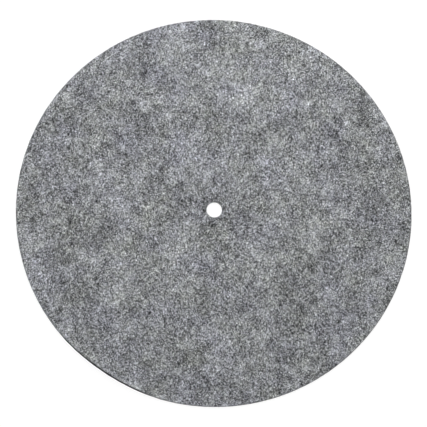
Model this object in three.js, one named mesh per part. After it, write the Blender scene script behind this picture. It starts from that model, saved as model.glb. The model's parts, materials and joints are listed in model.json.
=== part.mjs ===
// Felt mat that lies on the platter of a record player, under the record.
// It is one disc punched from a sheet of grey pressed felt, with a hole that clears the spindle.
// Lengths are millimetres and angles are degrees. The origin is the middle of the hole at the
// level that the mat lies on, and +Z is up.
import * as THREE from "three";

// Driving dimensions of the disc.
const matDiameter = 295; // fits inside the raised lip of a platter for 12 inch records
const matThickness = 2; // thickness of the felt sheet
const holeDiameter = 11.7; // drops over the spindle and its collar with room to spare

// The punch comes down from above: it draws the upper corners over and leaves the lower ones crisp.
const upperCornerRadius = 0.5;
const lowerCornerRadius = 0.25;

// One stretch of the rim has curled up from lying folded against something.
const curlAzimuth = 235.5; // direction of the middle of the curl, from +X towards +Y
const curlReach = 16.5; // felt between the straight bend line and the rim
const curlSlope = 27.5; // slope of the felt where the curl meets the rim

// How finely the surface is divided.
const sectorsAround = 120;
const stepsPerCorner = 3;
const ringsOnFlat = 3; // between the hole and the nearest point of the bend line
const ringsOnCurl = 5; // between that point and the rim

const feltColour = 0x86888b;
const feltRoughness = 0.95;

const matRadius = matDiameter / 2;
const holeRadius = holeDiameter / 2;
const bendLine = matRadius - curlReach; // distance from the middle of the hole

// Evenly spaced points from one value to another, with the last one left out.
function evenSteps(from, to, count) {
  return Array.from({ length: count }, (_, i) => from + ((to - from) * i) / count);
}

// Radii of the rings on a flat face, outwards from the hole, with the corners left out.
function faceRadii(cornerRadius) {
  const inner = holeRadius + cornerRadius;
  const outer = matRadius - cornerRadius;
  return [...evenSteps(inner, bendLine, ringsOnFlat), ...evenSteps(bendLine, outer, ringsOnCurl), outer];
}

// A rounded corner as a quarter circle about (radius, height), from one angle to a quarter turn on.
function corner(radius, height, cornerRadius, startAngle) {
  const arc = new THREE.Path();
  const start = THREE.MathUtils.degToRad(startAngle);
  arc.absarc(radius, height, cornerRadius, start, start + Math.PI / 2, false);
  const inside = arc.getSpacedPoints(stepsPerCorner).slice(1, -1);
  return inside; // the ends belong to the faces and walls
}

// The cut section of the felt, as radius and height, once round and closed on its first point.
function feltSection() {
  const lower = lowerCornerRadius;
  const upper = upperCornerRadius;
  const top = matThickness;
  const underside = faceRadii(lower).map((r) => new THREE.Vector2(r, 0));
  const outerWall = [new THREE.Vector2(matRadius, lower), new THREE.Vector2(matRadius, top - upper)];
  const upperFace = faceRadii(upper).reverse().map((r) => new THREE.Vector2(r, top));
  const holeWall = [new THREE.Vector2(holeRadius, top - upper), new THREE.Vector2(holeRadius, lower)];
  return [
    ...underside,
    ...corner(matRadius - lower, lower, lower, 270),
    ...outerWall,
    ...corner(matRadius - upper, top - upper, upper, 0),
    ...upperFace,
    ...corner(holeRadius + upper, top - upper, upper, 90),
    ...holeWall,
    ...corner(holeRadius + lower, lower, lower, 180),
    underside[0].clone(),
  ];
}

// Rolls the felt beyond the bend line up round a level axis. The felt half way through the
// thickness keeps its length, so the upper face is pressed shorter and the underside is drawn longer.
function curlRim(geometry) {
  const azimuth = THREE.MathUtils.degToRad(curlAzimuth);
  const outwards = new THREE.Vector3(Math.cos(azimuth), Math.sin(azimuth), 0);
  const bendRadius = curlReach / THREE.MathUtils.degToRad(curlSlope);
  const axisHeight = bendRadius + matThickness / 2;
  const positions = geometry.getAttribute("position");
  const point = new THREE.Vector3();
  for (let i = 0; i < positions.count; i += 1) {
    point.fromBufferAttribute(positions, i);
    const along = point.dot(outwards);
    const turn = Math.max(along - bendLine, 0) / bendRadius;
    if (turn > 0) {
      const fromAxis = axisHeight - point.z;
      point.addScaledVector(outwards, bendLine + fromAxis * Math.sin(turn) - along);
      point.z = axisHeight - fromAxis * Math.cos(turn);
      positions.setXYZ(i, point.x, point.y, point.z);
    }
  }
  geometry.computeVertexNormals();
}

// The whole mat: the felt section carried once round the hole, then curled at the rim.
function makeFeltMat() {
  const geometry = new THREE.LatheGeometry(feltSection(), sectorsAround);
  geometry.rotateX(Math.PI / 2); // the lathe turns about Y, and the mat about Z
  curlRim(geometry);
  const felt = new THREE.MeshStandardMaterial({
    color: feltColour,
    roughness: feltRoughness,
    metalness: 0,
  });
  const mat = new THREE.Mesh(geometry, felt);
  mat.name = "felt_mat";
  return mat;
}

const platterMat = new THREE.Group();
platterMat.name = "platter_mat";
platterMat.add(makeFeltMat());

export default platterMat;
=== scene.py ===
# %% [markdown]
# # A felt mat for a record player's platter
#
# The real mat is a single disc, punched out of a sheet of grey marled felt. Felt has no weave:
# dark, grey and nearly white fibres are carded together, laid down as a web and pressed until
# they lock. What the eye sees from a step away is a salt and pepper grain, soft clouds where the
# blend is uneven, and a crisp cut edge. From close by it sees the fibres themselves.
#
# The lesson starts with the pressed sheet, as one closed surface, and with its finish. Then come
# the loose fibres that lie on its two faces and the short fuzz of its cut edges. The camera, the
# lamps and the floor come last.

# %% Load the frame
import json
import math

import bpy
import numpy as np
from mathutils import Matrix, Vector


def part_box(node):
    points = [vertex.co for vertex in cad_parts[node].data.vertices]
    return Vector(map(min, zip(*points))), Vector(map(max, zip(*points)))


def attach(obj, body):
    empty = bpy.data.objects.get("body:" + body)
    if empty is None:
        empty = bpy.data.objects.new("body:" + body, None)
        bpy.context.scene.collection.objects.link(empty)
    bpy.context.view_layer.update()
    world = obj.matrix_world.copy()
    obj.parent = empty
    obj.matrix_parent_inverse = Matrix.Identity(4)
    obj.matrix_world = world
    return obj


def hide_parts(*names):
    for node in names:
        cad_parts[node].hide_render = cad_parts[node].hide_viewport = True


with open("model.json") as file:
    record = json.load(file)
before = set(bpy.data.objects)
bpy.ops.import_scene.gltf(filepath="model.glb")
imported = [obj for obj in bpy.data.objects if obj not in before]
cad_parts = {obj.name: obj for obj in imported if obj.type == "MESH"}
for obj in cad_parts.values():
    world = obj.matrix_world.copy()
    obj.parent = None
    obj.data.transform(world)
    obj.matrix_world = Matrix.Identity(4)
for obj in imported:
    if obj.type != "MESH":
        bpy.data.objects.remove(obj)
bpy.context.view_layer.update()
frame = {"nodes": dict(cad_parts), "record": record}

# %% [markdown]
# ## Sizes
#
# Every size comes from the frame where the frame holds it: the outside radius from the solid's
# box, the thickness from the two faces that carry the platter and the record, and the radius of
# the spindle hole from the solid's innermost points. Only the two worn corners and the curl's
# three numbers are repeated here, because no box says them.

# %% Read the mat's sizes
MM = 0.001
felt_node = frame["nodes"]["felt_mat"]
node_points = np.array([vertex.co for vertex in felt_node.data.vertices])
faces_at = {mount["name"]: mount["pos_m"][2] for mount in frame["record"]["mounts"]}

mat_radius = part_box("felt_mat")[1].x
hole_radius = np.hypot(node_points[:, 0], node_points[:, 1]).min()
felt_thickness = faces_at["record_face"] - faces_at["platter_face"]
upper_corner = 0.5 * MM
lower_corner = 0.25 * MM
print(f"radius {mat_radius / MM:.2f}, hole {hole_radius / MM:.2f}, felt {felt_thickness / MM:.2f} mm")

# %% [markdown]
# ## The curled stretch of rim
#
# One stretch of the rim has rolled up from lying folded against something. A sheet can bend
# about one straight line without stretching, so the felt beyond a straight bend line is rolled
# round a level axis above it. Every piece is worked out flat and then goes through this one
# function, so the fibres stay on the felt that carries them.

# %% Curl the rim
curl_azimuth = math.radians(235.5)
curl_reach = 16.5 * MM
curl_slope = math.radians(27.5)


def curl_rim(points):
    """Rolls points up beyond the bend line. A point that lies a distance d beyond the line turns
    by d / bend radius about an axis that stands one bend radius above the middle of the felt."""
    outwards = np.array([math.cos(curl_azimuth), math.sin(curl_azimuth)])
    bend_line = mat_radius - curl_reach
    bend_radius = curl_reach / curl_slope
    axis_height = bend_radius + felt_thickness / 2
    along = points[..., :2] @ outwards
    turn = np.maximum(along - bend_line, 0) / bend_radius
    from_axis = axis_height - points[..., 2]
    bent = turn > 0
    moved = np.where(bent, bend_line + from_axis * np.sin(turn) - along, 0)
    curled = points.copy()
    curled[..., :2] += moved[..., None] * outwards
    curled[..., 2] = np.where(bent, axis_height - from_axis * np.cos(turn), points[..., 2])
    return curled


rim_middle = np.array([math.cos(curl_azimuth), math.sin(curl_azimuth), 0]) * mat_radius
print(f"the middle of the curled rim rises by {curl_rim(rim_middle)[2] / MM:.2f} mm")

# %% [markdown]
# ## The uneven face of pressed felt
#
# Pressing never makes felt truly flat: where the web was thicker it stays a little proud. That
# unevenness is a height for every place on the face. A sum of many sine waves with random
# directions and a chosen spread of wavelengths looks just as irregular as the real face, has no
# seams, and can be asked for at any point, so the fibres can be laid on exactly the same relief.

# %% Make a relief out of waves
def make_relief(seed, waves, shortest, longest, depth):
    """Returns a function of (x, y) that adds up sine waves. Their lengths are spread evenly in
    octaves from shortest to longest, a wave is as high as its length to the power of a half, and
    the whole sum is scaled so that its standard deviation is depth."""
    rng = np.random.default_rng(seed)
    length = shortest * (longest / shortest) ** rng.random(waves)
    heading = rng.random(waves) * 2 * np.pi
    phase = rng.random(waves) * 2 * np.pi
    height = np.sqrt(length)
    height *= depth / math.sqrt((height**2).sum() / 2)
    across = 2 * np.pi * np.cos(heading) / length
    along = 2 * np.pi * np.sin(heading) / length

    def relief(x, y):
        total = np.zeros(np.shape(x))
        for kx, ky, start, h in zip(across, along, phase, height, strict=True):
            total += h * np.sin(kx * x + ky * y + start)
        return total

    return relief


top_relief = make_relief(seed=11, waves=70, shortest=3.2 * MM, longest=26 * MM, depth=0.035 * MM)
under_relief = make_relief(seed=12, waves=50, shortest=4 * MM, longest=26 * MM, depth=0.03 * MM)
edge_relief = make_relief(seed=13, waves=60, shortest=1.6 * MM, longest=14 * MM, depth=0.05 * MM)
print(f"at the hole the upper relief is {top_relief(hole_radius, 0.0) / MM:.3f} mm")

# %% [markdown]
# ## The pressed sheet
#
# The sheet is a ring: a section with two faces, two cut walls and four worn corners, carried
# once round the hole. Each face is a stack of rings of points. A ring doubles its points when its
# cells would grow too wide, so the cells keep about one size from the hole to the rim.

# %% Draw the section
cell = 1.5 * MM
hole_sectors = 80
most_doublings = 3
corner_steps = 4
wall_steps = 4
holding_gap = 0.08 * MM


def sectors_at(radius):
    """The number of points on a ring: hole_sectors, doubled until no cell is wider than cell."""
    doublings = np.ceil(np.log2(2 * np.pi * radius / (cell * hole_sectors)))
    return hole_sectors * 2 ** np.clip(doublings, 0, most_doublings).astype(int)


def face_radii(corner):
    """Radii from the hole to the rim in even steps of about one cell, without the corners. One
    more ring stands close to either end, so that the corner doesn't bend the face's shading."""
    inner, outer = hole_radius + corner, mat_radius - corner
    even = np.linspace(inner, outer, round((outer - inner) / cell) + 1)
    return np.insert(even, [1, -1], [inner + holding_gap, outer - holding_gap])


def quarter(radius, height, size, start):
    """Inner points of a quarter circle about (radius, height), turning back from start degrees
    by a quarter turn."""
    angle = np.radians(start - np.linspace(0, 90, corner_steps + 1)[1:-1])
    return np.stack([radius + size * np.cos(angle), height + size * np.sin(angle)], 1)


def felt_section():
    """(radius, height) of every ring, once round the section: over the upper face to the rim,
    down the outer wall, back along the underside and up the wall of the hole. The second value
    says on which of those four stretches each ring begins."""
    top, upper, lower = felt_thickness, upper_corner, lower_corner
    wall = np.linspace(top - upper, lower, wall_steps + 1)
    over, under = face_radii(upper), face_radii(lower)[::-1]
    stretches = [
        [np.stack([over, np.full(len(over), top)], 1)],
        [
            quarter(mat_radius - upper, top - upper, upper, 90),
            np.stack([np.full(len(wall), mat_radius), wall], 1),
            quarter(mat_radius - lower, lower, lower, 0),
        ],
        [np.stack([under, np.zeros(len(under))], 1)],
        [
            quarter(hole_radius + lower, lower, lower, 270),
            np.stack([np.full(len(wall), hole_radius), wall[::-1]], 1),
            quarter(hole_radius + upper, top - upper, upper, 180),
        ],
    ]
    joined = [np.concatenate(parts) for parts in stretches]
    stretch = np.repeat(np.arange(4), [len(rings) for rings in joined])
    return np.concatenate(joined), stretch


section, stretch = felt_section()
most = sectors_at(mat_radius)
print(f"the section has {len(section)} rings of {hole_sectors} to {most} points")

# %% [markdown]
# ## From the drawing board to the felt
#
# Everything is first drawn flat, as (x, y, height) of an ideal mat. Three steps then lay it on
# the real one: the cut walls sway, the faces get their relief, and the rim curls. The sheet and
# the fibres go through the same three steps, so they always meet.

# %% Lay flat points on the real mat
sway_reach = 3 * MM
sway_up_wall = 8
rest_gap = 0.06 * MM


def swayed(flat):
    """Moves points near a cut wall a little in and out, fully at the wall and less further in, as
    a punch leaves a fibrous sheet. A step up the wall changes the sway as much as sway_up_wall
    such steps along it."""
    radius = np.hypot(flat[..., 0], flat[..., 1])
    to_wall = np.minimum(mat_radius - radius, radius - hole_radius)
    share = np.clip(1 - to_wall / sway_reach, 0, 1)
    sway = share * edge_relief(flat[..., 0], flat[..., 1] + sway_up_wall * flat[..., 2])
    return flat * np.stack([1 + sway / radius, 1 + sway / radius, np.ones_like(radius)], -1)


def with_relief(flat):
    """Lifts a point by the upper relief times its share of the thickness, and by the lower relief
    times the rest. The lower one only lifts, so that the mat rests on its lowest fibres."""
    x, y, height = flat[..., 0], flat[..., 1], flat[..., 2]
    level = np.clip(height / felt_thickness, 0, 1)
    below = rest_gap + np.abs(under_relief(x, y))
    return np.stack([x, y, height + level * top_relief(x, y) + (1 - level) * below], -1)


def laid(flat):
    """A flat drawing's points where they end up on the real mat."""
    return curl_rim(with_relief(swayed(flat)))


rim_start = np.array([mat_radius, 0, 0])
print("the rim's point at azimuth 0 lies at", np.round(laid(rim_start) / MM, 3), "mm")

# %% [markdown]
# ## A flat map of the sheet
#
# Each piece gets a UV map named OFBake, which lays its colours out on one square picture. The
# sheet is mapped like a hat pressed flat: each face keeps its own shape, and a cut wall carries on
# outwards from the rim or inwards from the hole. Both faces share one place on the map, which gives
# every millimetre twice the pixels. That is possible because the felt's pattern is the same on
# both faces, which the mesh's attributes see to further down.

# %% Carry the section round the hole
map_margin = 3 * MM
map_side = 2 * (mat_radius + map_margin)


def map_radii():
    """For each band from one ring to the next, how far from the middle of the map it starts and
    ends. A band on a face keeps its radii. One on a wall lies beyond the edge, by how far one has
    come down that wall."""
    after = np.roll(section, -1, axis=0)
    step = np.hypot(*(after - section).T)
    start, end = section[:, 0].copy(), after[:, 0].copy()
    last_face_ring = [np.flatnonzero(stretch == 0)[-1], np.flatnonzero(stretch == 2)[-1]]
    for wall, first, outwards in zip([1, 3], last_face_ring, [1, -1], strict=True):
        bands = np.append(first, np.flatnonzero(stretch == wall))
        gone = np.cumsum(step[bands])
        start[bands] = section[first, 0] + outwards * (gone - step[bands])
        end[bands] = section[first, 0] + outwards * gone
    return start, end


def stitch(inner, outer):
    """Triangles between two rings of point numbers. The outer ring has as many points as the
    inner one or twice as many. On the upper face they point up."""
    next_inner = np.roll(inner, -1)
    if len(outer) == len(inner):
        next_outer = np.roll(outer, -1)
        corners = [(inner, outer, next_outer), (inner, next_outer, next_inner)]
    else:
        near, middle, far = outer[0::2], outer[1::2], np.roll(outer[0::2], -1)
        corners = [(inner, near, middle), (inner, middle, next_inner), (next_inner, middle, far)]
    return np.concatenate([np.stack(three, 1) for three in corners])


def pressed_sheet():
    """Flat points, triangles and map of the closed sheet. Each ring of the section is turned once
    round the axis, at even steps of azimuth, and stitched to the next, the last to the first."""
    counts = sectors_at(section[:, 0])
    azimuth = np.concatenate([np.arange(count) * 2 * np.pi / count for count in counts])
    radius, height = np.repeat(section, counts, axis=0).T
    flat = np.stack([radius * np.cos(azimuth), radius * np.sin(azimuth), height], 1)
    ends = np.cumsum(counts)
    rings = [np.arange(end - count, end) for end, count in zip(ends, counts, strict=True)]
    triangles, map_radius = [], []
    bands = zip(rings, rings[1:] + rings[:1], *map_radii(), strict=True)
    for here, after, start, end in bands:
        widens = len(after) >= len(here)
        band = stitch(here, after) if widens else stitch(after, here)[:, ::-1]
        triangles.append(band)
        map_radius.append(np.where((band >= here[0]) & (band <= here[-1]), start, end))
    triangles, map_radius = np.concatenate(triangles), np.concatenate(map_radius)
    turned = azimuth[triangles]
    on_map = np.stack([map_radius * np.cos(turned), map_radius * np.sin(turned)], -1)
    return flat, triangles, 0.5 + on_map / map_side


# %% [markdown]
# ## The tone of the cut edge, with painted light and painted shade
#
# The felt right beside a cut edge was pressed down by the punch, which is darker. The cut wall
# itself is painted lighter: painted light that lifts the shade it stands in. Where the rim has
# curled up, the whole edge is painted dark, as painted shade for the shaded side of the lifted
# edge, and a strip a little further in is painted pale, as a painted highlight where the curl's
# crest faces the lamp. All of it goes into one number for each point, kept in the mesh. Below 1
# it is the share of its light that the felt keeps. Above 1 it adds light evenly, which pales the
# dark fibres most.

# %% Work out the edge's tone
pressed_corner_tone = 0.86
pressed_reach = 0.85 * MM
# painted light on the cut wall, lifting the shade it stands in
lit_wall_tone = 2.1
wall_from = 0.5
wall_full = 1.2
# painted shade along the curled stretch of rim, for the shaded side of the lifted edge
curl_shade_tone = 0.06
curl_shade_reach = 0.34 * MM
curl_shade_core = 0.1
curl_shade_from = 0.58
curl_shade_full = 0.8
narrowed_by = 0.7
narrowed_over = 0.2
# painted highlight a little in from the curled rim, where the curl's crest faces the lamp
crest_highlight_tone = 1.6
crest_highlight_azimuth = math.radians(241)
crest_highlight_half = 0.08
crest_highlight_end = 0.16
crest_highlight_rise = (0.3 * MM, 1.0 * MM)
crest_highlight_fall = (1.4 * MM, 3.6 * MM)


def smooth_step(low, high, value):
    """0 below low, 1 above high, and a smooth S between them."""
    share = np.clip((value - low) / (high - low), 0, 1)
    return share * share * (3 - 2 * share)


def fade(low, high, value):
    """1 below low, 0 above high, and the same smooth S between them."""
    return 1 - smooth_step(low, high, value)


def pressed_and_lit_tone(flat, from_edge):
    """1 on the faces. Beside an edge it goes to the pressed tone, and on the wall to the lit wall
    tone, which is painted light. A point is on the wall when it is past a corner's size from the
    nearer face."""
    height = flat[..., 2]
    past_corner = np.minimum((felt_thickness - height) / upper_corner, height / lower_corner)
    on_wall = smooth_step(wall_from, wall_full, past_corner)
    lit_cut_tone = pressed_corner_tone + (lit_wall_tone - pressed_corner_tone) * on_wall
    return 1 + (lit_cut_tone - 1) * fade(0, pressed_reach, from_edge)


def edge_tone(flat):
    """The pressed and lit tone, mixed with the curl's painted shade where the rim has risen by most
    of the curl, and times the painted highlight on a short strip a little further in. The painted
    shade reaches in less far at the end of the curl where the azimuth is smaller. Angles are in
    radians."""
    radius = np.hypot(flat[..., 0], flat[..., 1])
    azimuth = np.arctan2(-flat[..., 1], -flat[..., 0]) + np.pi
    from_rim = mat_radius - radius
    lit = pressed_and_lit_tone(flat, np.minimum(from_rim, radius - hole_radius))
    outwards = np.array([math.cos(curl_azimuth), math.sin(curl_azimuth)])
    risen = (flat[..., :2] @ outwards - mat_radius + curl_reach) / curl_reach
    narrowed = narrowed_by * smooth_step(0, narrowed_over, curl_azimuth - azimuth)
    # painted shade along the curled rim
    curl_shade = fade(curl_shade_core, 1, from_rim / (curl_shade_reach * (1 - narrowed)))
    curl_shade = curl_shade * smooth_step(curl_shade_from, curl_shade_full, risen)
    # painted highlight on the curl's crest
    crest_highlight = smooth_step(*crest_highlight_rise, from_rim) * fade(*crest_highlight_fall, from_rim)
    crest_highlight = crest_highlight * fade(crest_highlight_half, crest_highlight_end, np.abs(azimuth - crest_highlight_azimuth))
    return (lit + (curl_shade_tone - lit) * curl_shade) * (1 + (crest_highlight_tone - 1) * crest_highlight)


wall_middle = np.array([mat_radius, 0, felt_thickness / 2])
print(f"half way up the fresh cut wall the tone is {edge_tone(wall_middle):.2f}")

# %% Put arrays into a mesh
def make_piece(name, flat, triangles, on_map, material, tone):
    """One smooth object at the origin that rides on the part's one body. It keeps two attributes
    for its material. on_felt is each point's place on the flat mat, with its depth below the
    upper face, which runs back to nothing over the lower corner. tone is one number a point."""
    points = laid(flat)
    depth = (felt_thickness - flat[..., 2]) * np.clip(flat[..., 2] / lower_corner, 0, 1)
    on_felt = np.stack([flat[..., 0], flat[..., 1], depth], -1)
    mesh = bpy.data.meshes.new(name)
    mesh.vertices.add(len(points))
    mesh.vertices.foreach_set("co", points.astype(np.float32).ravel())
    mesh.loops.add(triangles.size)
    mesh.loops.foreach_set("vertex_index", triangles.astype(np.int32).ravel())
    mesh.polygons.add(len(triangles))
    mesh.polygons.foreach_set("loop_start", np.arange(0, triangles.size, 3, dtype=np.int32))
    mesh.polygons.foreach_set("use_smooth", np.ones(len(triangles), bool))
    mesh.update(calc_edges=True)
    mesh.attributes.new("on_felt", "FLOAT_VECTOR", "POINT")
    mesh.attributes["on_felt"].data.foreach_set("vector", on_felt.astype(np.float32).ravel())
    mesh.attributes.new("tone", "FLOAT", "POINT")
    mesh.attributes["tone"].data.foreach_set("value", tone.astype(np.float32))
    mesh.uv_layers.new(name="OFBake").uv.foreach_set("vector", on_map.astype(np.float32).ravel())
    mesh.materials.append(material)
    piece = bpy.data.objects.new(name, mesh)
    bpy.context.scene.collection.objects.link(piece)
    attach(piece, "root")
    print(f"{name}: {len(points)} points, {len(triangles)} triangles")
    return piece


# %% [markdown]
# ## The finish: a marled blend
#
# Marled felt is a mix of nearly white, grey and nearly black fibres, so its colour is not paint
# with noise on it but a sum of layers of fibre. Each layer is a noise of one size, from the
# clouds of an uneven web down to single strands. The layers add up in steps that look even to
# the eye, and a power of 2.2 turns the sum into the light that the felt sends back.
#
# A small helper keeps the node trees readable: it adds one node and links or sets its inputs.

# %% Add nodes in one line each
def add(tree, kind, inputs, **settings):
    """Adds a node, sets its settings, and gives each named input a value or another's output."""
    made = tree.nodes.new(kind)
    for name, value in settings.items():
        setattr(made, name, value)
    for name, value in inputs.items():
        if isinstance(value, bpy.types.NodeSocket):
            tree.links.new(value, made.inputs[name])
        else:
            made.inputs[name].default_value = value
    return made


def maths(tree, operation, *values):
    """One Math node's result for these values or outputs."""
    return add(tree, "ShaderNodeMath", dict(enumerate(values)), operation=operation).outputs[0]


def noise(tree, place, size, seed, detail=0.0, distortion=0.0):
    """A noise from 0 to 1, 0.5 on average, whose lumps are about size millimetres across. A whole
    number as seed slides it to another part of the noise, so that no two layers are alike. The
    noise is flat where all three of its coordinates are whole, so the faces lie half a lump off
    such a plane, where it is strongest."""
    fine = 1000 / size
    inputs = {0: place, 1: (fine, fine, fine), 2: (17 * seed, 31 * seed, 7 * seed + 0.5)}
    spot = add(tree, "ShaderNodeVectorMath", inputs, operation="MULTIPLY_ADD").outputs[0]
    inputs = {"Vector": spot, "Scale": 1.0, "Detail": detail, "Distortion": distortion}
    return add(tree, "ShaderNodeTexNoise", inputs).outputs["Fac"]


def new_group(name, inputs, outputs):
    """A shader node group with named sockets, and its two end nodes."""
    group = bpy.data.node_groups.new(name, "ShaderNodeTree")
    for names, in_out in ((inputs, "INPUT"), (outputs, "OUTPUT")):
        for socket, kind in names.items():
            group.interface.new_socket(socket, in_out=in_out, socket_type=f"NodeSocket{kind}")
    start = group.nodes.new("NodeGroupInput")
    end = group.nodes.new("NodeGroupOutput")
    return group, start.outputs, end.inputs


# %% [markdown]
# ### Dye clouds
#
# The dark fibres come from several old batches of cloth. Some lean to blue and some to olive, and
# carding never mixes them fully, so the grey has faint patches of both. The loose fibres come
# from the same blend, so both materials use this group. The seed of the broad patches is chosen
# so that they lie roughly where the real mat has them, and so are the clouds' seeds below.

# %% Build the dye clouds
olive_tint = (0.961, 1.0, 0.955)
grey_tint = (0.970, 1.0, 1.043)
blue_tint = (0.979, 1.0, 1.131)
patch_size = 22
speck_size = 4


def fill_ramp(ramp, stops):
    """Gives a colour ramp these stops, each a place from 0 to 1 and a colour."""
    while len(ramp.elements) < len(stops):
        ramp.elements.new(1.0)
    for element, (place, colour) in zip(ramp.elements, stops, strict=True):
        element.position = place
        element.color = (*colour, 1.0)


def build_dye_clouds():
    """Places in, a tint near white out: two noises lean the grey to blue or to olive. The broad
    one has three parts in five of the say and the one of small specks has two."""
    group, given, result = new_group("dye_clouds", {"Place": "Vector"}, {"Tint": "Color"})
    patches = noise(group, given["Place"], patch_size, seed=411, detail=1.5)
    specks = noise(group, given["Place"], speck_size, seed=2, detail=1.0)
    lean = maths(group, "MULTIPLY_ADD", specks, 0.4, maths(group, "MULTIPLY", patches, 0.6))
    ramp = add(group, "ShaderNodeValToRGB", {"Fac": lean})
    fill_ramp(ramp.color_ramp, [(0.28, olive_tint), (0.5, grey_tint), (0.72, blue_tint)])
    group.links.new(ramp.outputs["Color"], result["Tint"])
    return group


dye_clouds = build_dye_clouds()
print(f"dye clouds: {len(dye_clouds.nodes)} nodes")

# %% [markdown]
# ### Strands
#
# A fibre that lies in the sheet shows as a thin curly line. Where a smooth noise passes through
# its middle value it draws just such lines, so a strand is wherever the noise is very near 0.5.
# A second, larger noise is a gate that opens and shuts, so that the lines start and end.

# %% Build the strands
line_size = 2.6
gate_size = 3.4
gate_shut = 0.42
gate_open = 0.56


def smooth_ramp(tree, value, low, high):
    """The same smooth S in nodes: 0 where value is below low and 1 where it is above high."""
    inputs = {"Value": value, "From Min": low, "From Max": high}
    made = add(tree, "ShaderNodeMapRange", inputs, interpolation_type="SMOOTHSTEP")
    return made.outputs["Result"]


def build_strands():
    """Places in, a mask of thin curly lines out. It is 1 where the first noise is 0.5 and falls
    to 0 where that noise is Width away from it, or where the second noise is low."""
    sockets = {"Place": "Vector", "Width": "Float"}
    group, given, result = new_group("strands", sockets, {"Mask": "Float"})
    lines = noise(group, given["Place"], line_size, seed=3, detail=1.0, distortion=0.8)
    off_middle = maths(group, "ABSOLUTE", maths(group, "SUBTRACT", lines, 0.5))
    near = maths(group, "SUBTRACT", 1.0, smooth_ramp(group, off_middle, 0.0, given["Width"]))
    gate = noise(group, given["Place"], gate_size, seed=4)
    mask = maths(group, "MULTIPLY", near, smooth_ramp(group, gate, gate_shut, gate_open))
    group.links.new(mask, result["Mask"])
    return group


strands = build_strands()
print(f"strands: {len(strands.nodes)} nodes")


def strand_layer(tree, place, slide, turn, width):
    """One family of strands: the shared group, turned by turn degrees and slid by slide metres."""
    inputs = {"Vector": place, "Location": (slide, -slide, 0)}
    inputs["Rotation"] = (0, 0, math.radians(turn))
    inputs = {"Place": add(tree, "ShaderNodeMapping", inputs).outputs[0], "Width": width}
    return add(tree, "ShaderNodeGroup", inputs, node_tree=strands).outputs["Mask"]


# %% [markdown]
# ### The grain of short fibres
#
# From close by, the salt and pepper grain is made of short stretches of single fibres that lie
# every way. A noise drawn out along one direction looks like fibres combed that way. The larger
# of two such noises, turned against each other, looks like fibres that cross and hide each other.
# Two give the light fibres here, and two more the dark ones that are taken away from them.

# %% Build the fibre grain
grain_length = 1.15
grain_width = 0.32
light_turns = (8, 97)
dark_turns = (52, 141)


def build_fibre_grain():
    """Places in, a grain that is 0 on average out: the larger of the two noises combed along the
    light turns, less the larger of the two combed along the dark turns."""
    group, given, result = new_group("fibre_grain", {"Place": "Vector"}, {"Grain": "Float"})
    combs = []
    for number, turn in enumerate(light_turns + dark_turns):
        inputs = {"Vector": given["Place"], "Rotation": (0, 0, math.radians(turn))}
        inputs["Scale"] = (grain_length / grain_width, 1, 1)
        combed = add(group, "ShaderNodeMapping", inputs, vector_type="TEXTURE").outputs[0]
        fibres = noise(group, combed, grain_width, seed=41 + number, detail=1.5, distortion=0.7)
        combs.append(fibres)
    light = maths(group, "MAXIMUM", *combs[:2])
    dark = maths(group, "MAXIMUM", *combs[2:])
    group.links.new(maths(group, "SUBTRACT", light, dark), result["Grain"])
    return group


fibre_grain = build_fibre_grain()
print(f"fibre grain: {len(fibre_grain.nodes)} nodes")

# %% [markdown]
# ### The pressed felt
#
# The layers are listed from the finer clouds to the broadest one, each with its size in
# millimetres and its strength. The grain comes under them and the strands lie on top, light ones
# and dark ones. The same layers, weighed differently, give the relief for the bump and a small
# change of roughness.
#
# Real felt has deeper gaps than its fibres are bright. A grey is pulled down by the square of its
# distance from the middle grey: in the dark gaps between fibres that is painted shade, and on the
# light fibres it only dims them. A soft lower limit keeps the painted shade from going quite black.
# Where the tone is above 1, the felt adds that much more of the light that it usually sends back,
# which is painted light.

# %% Finish the pressed felt
middle_grey = 0.523
grain_strength = 2.75
cloud_layers = [
    # size in mm, strength, seed
    (2.8, 0.03, 12),
    (5.6, 0.26, 58),
    (11.0, 0.22, 52),
    (34.0, 0.126, 454),
]
# slide in metres, turn in degrees, width
light_strands = [(0.9, 12, 0.034), (1.7, 71, 0.030), (2.3, 128, 0.026)]
dark_strands = [(3.1, 40, 0.034), (3.7, 97, 0.030), (4.3, 155, 0.026)]
light_strength = 0.12
dark_strength = -0.26
gap_shade_depth = 0.35
darkest_grey = 0.02
limit_softness = 0.2
eye_power = 2.2
usual_light = 0.25
grain_relief = 0.5
most_cloud_relief = 2.0
strand_relief = 0.6
drawn_out = (1.0, 0.8, 1.0)
gap_roughness = 0.99
roughness_fall = 0.12


def plain_material(name):
    """A new material with only an output and a Principled BSDF, and both nodes."""
    material = bpy.data.materials.new(name)
    material.use_nodes = True
    tree = material.node_tree
    tree.nodes.clear()
    shader = tree.nodes.new("ShaderNodeBsdfPrincipled")
    output = tree.nodes.new("ShaderNodeOutputMaterial")
    tree.links.new(shader.outputs["BSDF"], output.inputs["Surface"])
    return material, tree, shader


def attribute(tree, name):
    """The node that reads one of the piece's own attributes."""
    return add(tree, "ShaderNodeAttribute", {}, attribute_name=name)


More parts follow.
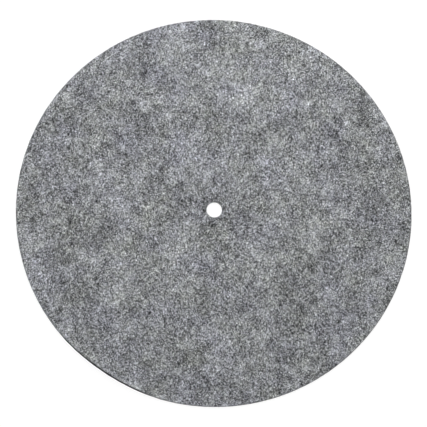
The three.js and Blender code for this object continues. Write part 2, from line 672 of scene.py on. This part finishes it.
def add_felt_layers(tree, place):
    """The grey, as the sum of the middle grey and every layer times its strength, and the relief,
    as the sum of the same layers times weights of its own."""
    grain = add(tree, "ShaderNodeGroup", {"Place": place}, node_tree=fibre_grain).outputs["Grain"]
    grey = maths(tree, "MULTIPLY_ADD", grain, grain_strength, middle_grey)
    relief = maths(tree, "MULTIPLY", grain, grain_relief)
    for size, strength, seed in cloud_layers:
        layer = maths(tree, "SUBTRACT", noise(tree, place, size, seed), 0.5)
        grey = maths(tree, "MULTIPLY_ADD", layer, strength, grey)
        relief = maths(tree, "MULTIPLY_ADD", layer, min(size, most_cloud_relief), relief)
    for families, strength in ((light_strands, light_strength), (dark_strands, dark_strength)):
        for slide, turn, width in families:
            mask = strand_layer(tree, place, slide, turn, width)
            grey = maths(tree, "MULTIPLY_ADD", mask, strength, grey)
            relief = maths(tree, "MULTIPLY_ADD", mask, strand_relief, relief)
    # painted shade in the gaps between fibres: greys pulled down by their squared distance from the
    # middle
    off_middle = maths(tree, "SUBTRACT", grey, middle_grey)
    gap_shade = maths(tree, "MULTIPLY", off_middle, off_middle)
    return maths(tree, "MULTIPLY_ADD", gap_shade, -gap_shade_depth, grey), relief


def light_sent_back(tree, grey):
    """The grey above its lower limit, to the power of 2.2. A tone below 1 multiplies this light.
    One above 1 adds the usual light times what it is above 1."""
    limited = maths(tree, "SMOOTH_MAX", grey, darkest_grey, limit_softness)
    light = maths(tree, "POWER", limited, eye_power)
    tone = attribute(tree, "tone").outputs["Fac"]
    # a tone above 1 is painted light, on the cut wall and on the curl's crest
    paler = maths(tree, "MAXIMUM", maths(tree, "SUBTRACT", tone, 1.0), 0.0)
    toned = maths(tree, "MULTIPLY", light, maths(tree, "MINIMUM", tone, 1.0))
    return maths(tree, "MULTIPLY_ADD", paler, usual_light, toned)


def finish_pressed_felt():
    """The pressed sheet's material: the layers' light times the dye tint, and a fibrous bump. The
    layers are drawn out by a quarter along y, as the web of fibres was."""
    material, tree, shader = plain_material("pressed_felt")
    on_felt = attribute(tree, "on_felt").outputs["Vector"]
    place = add(tree, "ShaderNodeMapping", {"Vector": on_felt, "Scale": drawn_out}).outputs[0]
    grey, relief = add_felt_layers(tree, place)
    tint = add(tree, "ShaderNodeGroup", {"Place": on_felt}, node_tree=dye_clouds).outputs["Tint"]
    inputs = {0: tint, "Scale": light_sent_back(tree, grey)}
    colour = add(tree, "ShaderNodeVectorMath", inputs, operation="SCALE")
    tree.links.new(colour.outputs[0], shader.inputs["Base Color"])
    rough = maths(tree, "MULTIPLY_ADD", grey, -roughness_fall, gap_roughness)
    tree.links.new(rough, shader.inputs["Roughness"])
    bump = add(tree, "ShaderNodeBump", {"Height": relief, "Strength": 0.6, "Distance": 0.15 * MM})
    tree.links.new(bump.outputs["Normal"], shader.inputs["Normal"])
    shader.inputs["Specular IOR Level"].default_value = 0.2
    shader.inputs["Sheen Weight"].default_value = 0.08
    shader.inputs["Sheen Roughness"].default_value = 0.5
    return material


pressed_felt_finish = finish_pressed_felt()
print(f"pressed felt finish: {len(pressed_felt_finish.node_tree.nodes)} nodes")

# %% Make the pressed sheet
sheet_flat, sheet_triangles, sheet_map = pressed_sheet()
pressed_felt = make_piece(
    "pressed_felt",
    sheet_flat,
    sheet_triangles,
    sheet_map,
    pressed_felt_finish,
    edge_tone(sheet_flat),
)
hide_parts("felt_mat")

# %% [markdown]
# ## Loose fibres
#
# Pressing locks most fibres in, but a fine layer lies loose on both faces, and the eye knows felt
# by it. Each fibre is a closed, three-sided tube that tapers to both tips. All fibres of a layer
# are worked out at once: the headings turn a little at every station, the stations are the
# running sum of the headings, and each station between the tips carries three points.

# %% Work out many fibres at once
swing = 0.35
tip_sink = 0.5
tip_thickness = 0.55
square_gap = 0.08


def fibre_paths(start, heading, length, turn, stations):
    """Middle lines over a flat strip. A fibre's heading turns by turn radians from tip to tip,
    and one slow wave swings it by swing radians to both sides, from a phase of its own. A path is
    the running sum of equal steps along its headings, moved so that its mean lies on start. The
    second value is the headings."""
    share = np.linspace(0, 1, stations)
    wave = swing * np.sin(2 * np.pi * share + 7 * heading[:, None])
    facing = heading[:, None] + turn[:, None] * (share - 0.5) + wave
    step = (length / (stations - 1))[:, None, None]
    path = np.cumsum(step * np.stack([np.cos(facing), np.sin(facing)], -1), 1)
    return path + (start - path.mean(1))[:, None], facing


def tubes_round(path, facing, radius, arch):
    """Points of tubes in (along, across, lift), as a tip, rings of three points and a tip. A tube
    is thickest in its middle, and there it lifts by arch. Its ends sink in by tip_sink radii."""
    share = np.linspace(0, 1, path.shape[1])
    lift = arch[:, None] * np.sin(np.pi * share) - tip_sink * radius[:, None]
    profile = tip_thickness + (1 - tip_thickness) * np.sin(np.pi * share)
    thick = (radius[:, None] * profile)[:, 1:-1, None]
    corner = np.radians([90, 210, 330])
    side = np.stack([-np.sin(facing), np.cos(facing)], -1)[:, 1:-1, None]
    outline = path[:, 1:-1, None] + (thick * np.cos(corner))[..., None] * side
    heights = lift[:, 1:-1, None] + thick * np.sin(corner)
    rings = np.concatenate([outline, heights[..., None]], -1).reshape(len(path), -1, 3)
    tips = np.concatenate([path[:, [0, -1]], lift[:, [0, -1], None]], -1)
    return np.concatenate([tips[:, :1], rings, tips[:, 1:]], 1)


def tube_faces(stations):
    """Triangles of one tube and, for every corner, how far it is along the tube and round it. The
    third side runs on to 3 and not back to 0, so that no face folds over on the map."""
    side = np.arange(3)
    after = (side + 1) % 3
    rings = stations - 2
    first = 1 + 3 * np.arange(rings - 1)[:, None]
    last = 3 * rings + 1
    this, left = first + side, first + after
    faces = [
        np.stack([0 * side, 1 + after, 1 + side], -1),
        np.stack([this, left, left + 3], -1).reshape(-1, 3),
        np.stack([this, left + 3, this + 3], -1).reshape(-1, 3),
        np.stack([0 * side + last, last - 3 + side, last - 3 + after], -1),
    ]
    at = 1 + np.arange(rings - 1)[:, None] + 0 * side
    round_ = side + 0 * at
    start, end = 0 * side, 0 * side + stations - 1
    places = [
        np.stack([start, side + 0.5, start + 1, side + 1, start + 1, side], -1),
        np.stack([at, round_, at, round_ + 1, at + 1, round_ + 1], -1).reshape(-1, 6),
        np.stack([at, round_, at + 1, round_ + 1, at + 1, round_], -1).reshape(-1, 6),
        np.stack([end, side + 0.5, end - 1, side, end - 1, side + 1], -1),
    ]
    on_tube = np.concatenate(places).reshape(-1, 3, 2) / [stations - 1, 3]
    return np.concatenate(faces), on_tube


def many_tubes(count, stations):
    """The triangles of count tubes, and a map that gives each tube a small square of its own."""
    faces, on_tube = tube_faces(stations)
    points_each = 3 * (stations - 2) + 2
    triangles = faces + points_each * np.arange(count)[:, None, None]
    across = math.ceil(math.sqrt(count))
    row, column = np.divmod(np.arange(count), across)
    square = np.stack([column, row], -1)[:, None, None]
    on_map = (square + square_gap + (1 - 2 * square_gap) * on_tube) / across
    return triangles.reshape(-1, 3), on_map.reshape(-1, 3, 2)


# %% [markdown]
# ### Which fibres lie where
#
# A carding machine leaves a mix, so lengths, thicknesses and tones are drawn at random from
# ranges, with fixed seeds. A fibre that would cross the rim or the hole is cut there, as the
# punch cut it.

# %% Draw the fibres of one layer
edge_margin = 0.25 * MM
light_below = 0.42
grey_below = 0.75
no_zero = 1e-12
fuzz_stations = 4
fuzz_bend = 0.8
fuzz_band = (0.2, 0.85)
wall_band = (0.05, 0.93)


def between(rng, low, high, count):
    """count numbers drawn evenly between low and high."""
    return low + (high - low) * rng.random(count)


def blend_tones(rng, count):
    """A tone for each fibre, from 0 for black to 1 for nearly white. Two in five are light, with
    0.72 or more. One in three is grey, with 0.4 to 0.6. The rest are dark, with 0.22 or less."""
    kind = rng.random(count)
    jitter = rng.random(count)
    light, grey, dark = 0.72 + 0.28 * jitter, 0.4 + 0.2 * jitter, 0.22 * jitter
    return np.select([kind < light_below, kind < grey_below], [light, grey], dark)


def cut_to_face(start, path):
    """Shrinks each path towards its start until it ends at the rim or the hole. How far a point
    may stay out is the nearer root of the circle's equation along the line from the start."""
    inner, outer = hole_radius + edge_margin, mat_radius - edge_margin
    away = path - start[:, None]
    along = (start[:, None] * away).sum(-1)
    size = (away**2).sum(-1) + no_zero
    from_middle = (start**2).sum(-1)[:, None]
    to_rim = (np.sqrt(along**2 + size * (outer**2 - from_middle)) - along) / size
    crossing = along**2 - size * (from_middle - inner**2)
    meets_hole = (crossing > 0) & (along < 0)
    to_hole = np.where(meets_hole, (-along - np.sqrt(np.abs(crossing))) / size, 1)
    kept = np.minimum(np.minimum(to_rim, to_hole).min(1), 1)
    return start[:, None] + kept[:, None, None] * away


def lay_on_face(name, upper, seed, count, stations, lengths, radii, bend, arches, finish):
    """A layer of fibres on one face. Starts are even over the ring's area, because the square of
    the radius is drawn evenly. Below, the lift points down and the triangles turn round."""
    rng = np.random.default_rng(seed)
    inner, outer = hole_radius + 2 * edge_margin, mat_radius - 2 * edge_margin
    radius = np.sqrt(between(rng, inner**2, outer**2, count))
    azimuth = between(rng, 0, 2 * np.pi, count)
    start = np.stack([radius * np.cos(azimuth), radius * np.sin(azimuth)], 1)
    heading = between(rng, 0, 2 * np.pi, count)
    length = between(rng, *lengths, count)
    turn = rng.normal(0, bend, count)
    thick = between(rng, *radii, count)
    arch = between(rng, *arches, count)
    tone = blend_tones(rng, count)
    path, facing = fibre_paths(start, heading, length, turn, stations)
    tubes = tubes_round(cut_to_face(start, path), facing, thick, arch)
    triangles, on_map = many_tubes(count, stations)
    side, top = (1, felt_thickness) if upper else (-1, 0)
    flat = tubes * [1, 1, side] + [0, 0, top]
    if not upper:
        flat[..., 2] = np.maximum(flat[..., 2], -rest_gap)
        triangles, on_map = triangles[:, ::-1], on_map[:, ::-1]
    tones = np.repeat(tone, tubes.shape[1])
    return make_piece(name, flat.reshape(-1, 3), triangles, on_map, finish, tones)


def lay_on_wall(name, outwards, seed, count, lengths, radii, arches, finish):
    """Short fuzz on a cut wall. The strip's first direction goes round the wall, its second one
    up the wall, and the lift points out of the felt. Starts lie in fuzz_band of the thickness,
    and whole fibres stay in wall_band. On the curled stretch of rim their tones take the curl's
    painted shade."""
    rng = np.random.default_rng(seed)
    wall = mat_radius if outwards > 0 else hole_radius
    around = between(rng, 0, 2 * np.pi * wall, count)
    up = between(rng, *fuzz_band, count) * felt_thickness
    heading = between(rng, 0, 2 * np.pi, count)
    length = between(rng, *lengths, count)
    turn = rng.normal(0, fuzz_bend, count)
    thick = between(rng, *radii, count)
    arch = between(rng, *arches, count)
    tone = blend_tones(rng, count)
    start = np.stack([around, up], 1)
    path, facing = fibre_paths(start, heading, length, turn, fuzz_stations)
    tubes = tubes_round(path, facing, thick, arch)
    triangles, on_map = many_tubes(count, fuzz_stations)
    reach, angle = wall + outwards * tubes[..., 2], tubes[..., 0] / wall
    height = felt_thickness * np.clip(tubes[..., 1] / felt_thickness, *wall_band)
    flat = np.stack([reach * np.cos(angle), reach * np.sin(angle), height], -1).reshape(-1, 3)
    if outwards < 0:
        triangles, on_map = triangles[:, ::-1], on_map[:, ::-1]
    # the fuzz takes the curl's painted shade, but not the wall's painted light
    tones = np.repeat(tone, tubes.shape[1]) * np.minimum(edge_tone(flat), 1)
    return make_piece(name, flat, triangles, on_map, finish, tones)


# %% Finish the loose fibres
fibre_greys = [(0.0, 0.028), (0.25, 0.076), (0.5, 0.22), (0.75, 0.38), (1.0, 0.52)]
wear_size = 0.9
wear_tone = 0.22
wear_roughness = 0.15
fibre_roughness = 0.82
scale_size = 0.12


def finish_loose_fibres():
    """One material for every loose fibre. Its tone attribute picks the colour, a noise along the
    fibre changes it a little, and the dye clouds tint it as they tint the sheet."""
    material, tree, shader = plain_material("loose_fibres")
    on_felt = attribute(tree, "on_felt").outputs["Vector"]
    worn = maths(tree, "SUBTRACT", noise(tree, on_felt, wear_size, seed=21, detail=1.0), 0.5)
    tone = maths(tree, "MULTIPLY_ADD", worn, wear_tone, attribute(tree, "tone").outputs["Fac"])
    ramp = add(tree, "ShaderNodeValToRGB", {"Fac": tone})
    fill_ramp(ramp.color_ramp, [(place, (grey, grey, grey)) for place, grey in fibre_greys])
    tint = add(tree, "ShaderNodeGroup", {"Place": on_felt}, node_tree=dye_clouds).outputs["Tint"]
    inputs = {0: ramp.outputs["Color"], 1: tint}
    colour = add(tree, "ShaderNodeVectorMath", inputs, operation="MULTIPLY")
    tree.links.new(colour.outputs[0], shader.inputs["Base Color"])
    rough = maths(tree, "MULTIPLY_ADD", worn, wear_roughness, fibre_roughness)
    tree.links.new(rough, shader.inputs["Roughness"])
    scales = noise(tree, on_felt, scale_size, seed=22)
    bump = add(tree, "ShaderNodeBump", {"Height": scales, "Strength": 0.3, "Distance": 0.01 * MM})
    tree.links.new(bump.outputs["Normal"], shader.inputs["Normal"])
    shader.inputs["Specular IOR Level"].default_value = 0.25
    return material


loose_fibre_finish = finish_loose_fibres()
print(f"loose fibre finish: {len(loose_fibre_finish.node_tree.nodes)} nodes")

# %% [markdown]
# ## The layers of fibres
#
# The upper face has long fibres and short flecks. The underside has one mixed layer, pressed flat
# by the platter. The outer wall and the wall of the hole have a short fuzz, kept within a third
# of a millimetre, because the real edge looks crisp from a step away.

# %% Lay the fibres
long_fibres = lay_on_face(
    "long_fibres",
    upper=True,
    seed=21,
    count=4600,
    stations=8,
    lengths=(5 * MM, 13 * MM),
    radii=(0.035 * MM, 0.065 * MM),
    bend=1.3,
    arches=(0.02 * MM, 0.12 * MM),
    finish=loose_fibre_finish,
)
short_flecks = lay_on_face(
    "short_flecks",
    upper=True,
    seed=22,
    count=9500,
    stations=5,
    lengths=(1.0 * MM, 3.6 * MM),
    radii=(0.045 * MM, 0.09 * MM),
    bend=1.2,
    arches=(0.01 * MM, 0.07 * MM),
    finish=loose_fibre_finish,
)
underside_fibres = lay_on_face(
    "underside_fibres",
    upper=False,
    seed=23,
    count=7500,
    stations=6,
    lengths=(2 * MM, 9 * MM),
    radii=(0.035 * MM, 0.075 * MM),
    bend=1.5,
    arches=(0.0, 0.05 * MM),
    finish=loose_fibre_finish,
)
rim_fuzz = lay_on_wall(
    "rim_fuzz",
    outwards=1,
    seed=24,
    count=7500,
    lengths=(0.5 * MM, 1.6 * MM),
    radii=(0.018 * MM, 0.035 * MM),
    arches=(0.02 * MM, 0.22 * MM),
    finish=loose_fibre_finish,
)
hole_fuzz = lay_on_wall(
    "hole_fuzz",
    outwards=-1,
    seed=25,
    count=360,
    lengths=(0.5 * MM, 1.4 * MM),
    radii=(0.018 * MM, 0.03 * MM),
    arches=(0.02 * MM, 0.22 * MM),
    finish=loose_fibre_finish,
)

# %% [markdown]
# ## The camera
#
# The photograph looks almost straight down through a long lens, a little from the front and
# turned slightly about its own axis. Three turns say that: the roll first, then the tilt away
# from straight down, then the turn round the mat. The camera stands back along its own axis.

# %% Place the camera
view_distance = 1.7097
view_tilt = math.radians(12.34)
view_turn = math.radians(-8.73)
view_roll = math.radians(8.94)
aim_right = -0.515 * MM
aim_up = -2.38 * MM
view_lens = 193.13

turned = Matrix.Rotation(view_turn, 3, "Z") @ Matrix.Rotation(view_tilt, 3, "X")
turned = turned @ Matrix.Rotation(view_roll, 3, "Z")
camera_data = bpy.data.cameras.new("camera")
camera_data.lens = view_lens
camera_data.sensor_width = 36
camera_data.clip_start = 0.05
camera_data.clip_end = 20
camera = bpy.data.objects.new("camera", camera_data)
camera.rotation_euler = turned.to_euler()
camera.location = turned @ Vector((aim_right, aim_up, view_distance))
bpy.context.scene.collection.objects.link(camera)
bpy.context.scene.camera = camera
print("camera at", [round(value, 4) for value in camera.location])

# %% [markdown]
# ## Plain studio light
#
# One large soft lamp stands behind the mat and high up, which makes the far side a little
# brighter than the near side. The world gives the rest from all round. Together they light a
# level white sheet at about 1, so a colour renders about as it is written. The lamp's power
# follows from the share of that 1 which it should give at the middle of the mat: a lamp of P
# watts at distance d sends P / (pi d)^2 times the cosine of its angle back from a white sheet.

# %% Light the mat
lamp_distance = 0.85
lamp_elevation = math.radians(60)
lamp_share = 0.6
lamp_sides = (0.7, 0.5)
world_share = 0.4

lamp_data = bpy.data.lights.new("soft_lamp", "AREA")
lamp_data.shape = "RECTANGLE"
lamp_data.size, lamp_data.size_y = lamp_sides
lamp_data.energy = lamp_share * (math.pi * lamp_distance) ** 2 / math.sin(lamp_elevation)
lamp = bpy.data.objects.new("soft_lamp", lamp_data)
lamp_from = Vector((0, math.cos(lamp_elevation), math.sin(lamp_elevation)))
lamp.location = lamp_distance * lamp_from
lamp.rotation_euler = lamp_from.to_track_quat("Z", "Y").to_euler()
bpy.context.scene.collection.objects.link(lamp)
print(f"lamp power {lamp_data.energy:.2f} W")


def seen_directly(tree):
    """1 for what the camera sees, straight on or through gloss or glass, and 0 for other light."""
    path = add(tree, "ShaderNodeLightPath", {}).outputs
    seen = maths(tree, "ADD", path["Is Camera Ray"], path["Is Glossy Ray"])
    seen = maths(tree, "ADD", seen, path["Is Transmission Ray"])
    return maths(tree, "MINIMUM", seen, 1.0)


def make_world():
    """Even light of world_share from all round, which looks plain white where it is seen."""
    world = bpy.data.worlds.new("studio")
    world.use_nodes = True
    tree = world.node_tree
    tree.nodes.clear()
    strength = maths(tree, "MULTIPLY_ADD", seen_directly(tree), 1 - world_share, world_share)
    inputs = {"Color": (1.0, 1.0, 1.0, 1.0), "Strength": strength}
    light = add(tree, "ShaderNodeBackground", inputs)
    output = tree.nodes.new("ShaderNodeOutputWorld")
    tree.links.new(light.outputs[0], output.inputs["Surface"])
    return world


bpy.context.scene.world = make_world()
bpy.context.scene.view_settings.view_transform = "Standard"

# %% [markdown]
# ## The floor
#
# The mat lies on a plain white table. To the light the table is white card, which sends some
# light back up to the cut edge. To the camera it is a darker card with a glow of its own, so that
# it shows as white and still keeps a faint shadow under the curled rim.

# %% Lay the floor
floor_half = 4.0
card_white = 0.8
card_seen = 0.1
card_glow = 0.94
mottle_size = 40
mottle_strength = 0.02


def finish_floor():
    """White card to the light, and for the camera a mix that ends just above white."""
    material = bpy.data.materials.new("white_card")
    material.use_nodes = True
    tree = material.node_tree
    tree.nodes.clear()
    place = add(tree, "ShaderNodeTexCoord", {}).outputs["Object"]
    mottle = maths(tree, "SUBTRACT", noise(tree, place, mottle_size, seed=31, detail=2.0), 0.5)
    seen = seen_directly(tree)
    white = maths(tree, "MULTIPLY_ADD", seen, card_seen - card_white, card_white)
    white = maths(tree, "MULTIPLY_ADD", mottle, mottle_strength, white)
    card = add(tree, "ShaderNodeBsdfDiffuse", {"Color": white})
    glow = add(tree, "ShaderNodeEmission", {"Strength": maths(tree, "MULTIPLY", seen, card_glow)})
    both = add(tree, "ShaderNodeAddShader", {0: card.outputs[0], 1: glow.outputs[0]})
    output = tree.nodes.new("ShaderNodeOutputMaterial")
    tree.links.new(both.outputs[0], output.inputs["Surface"])
    return material


floor_mesh = bpy.data.meshes.new("floor")
floor_corners = [(-floor_half, -floor_half, 0), (floor_half, -floor_half, 0)]
floor_corners += [(floor_half, floor_half, 0), (-floor_half, floor_half, 0)]
floor_mesh.from_pydata(floor_corners, [], [(0, 1, 2, 3)])
floor_mesh.materials.append(finish_floor())
floor = bpy.data.objects.new("floor", floor_mesh)
bpy.context.scene.collection.objects.link(floor)
print(f"floor: {2 * floor_half:.0f} m square")
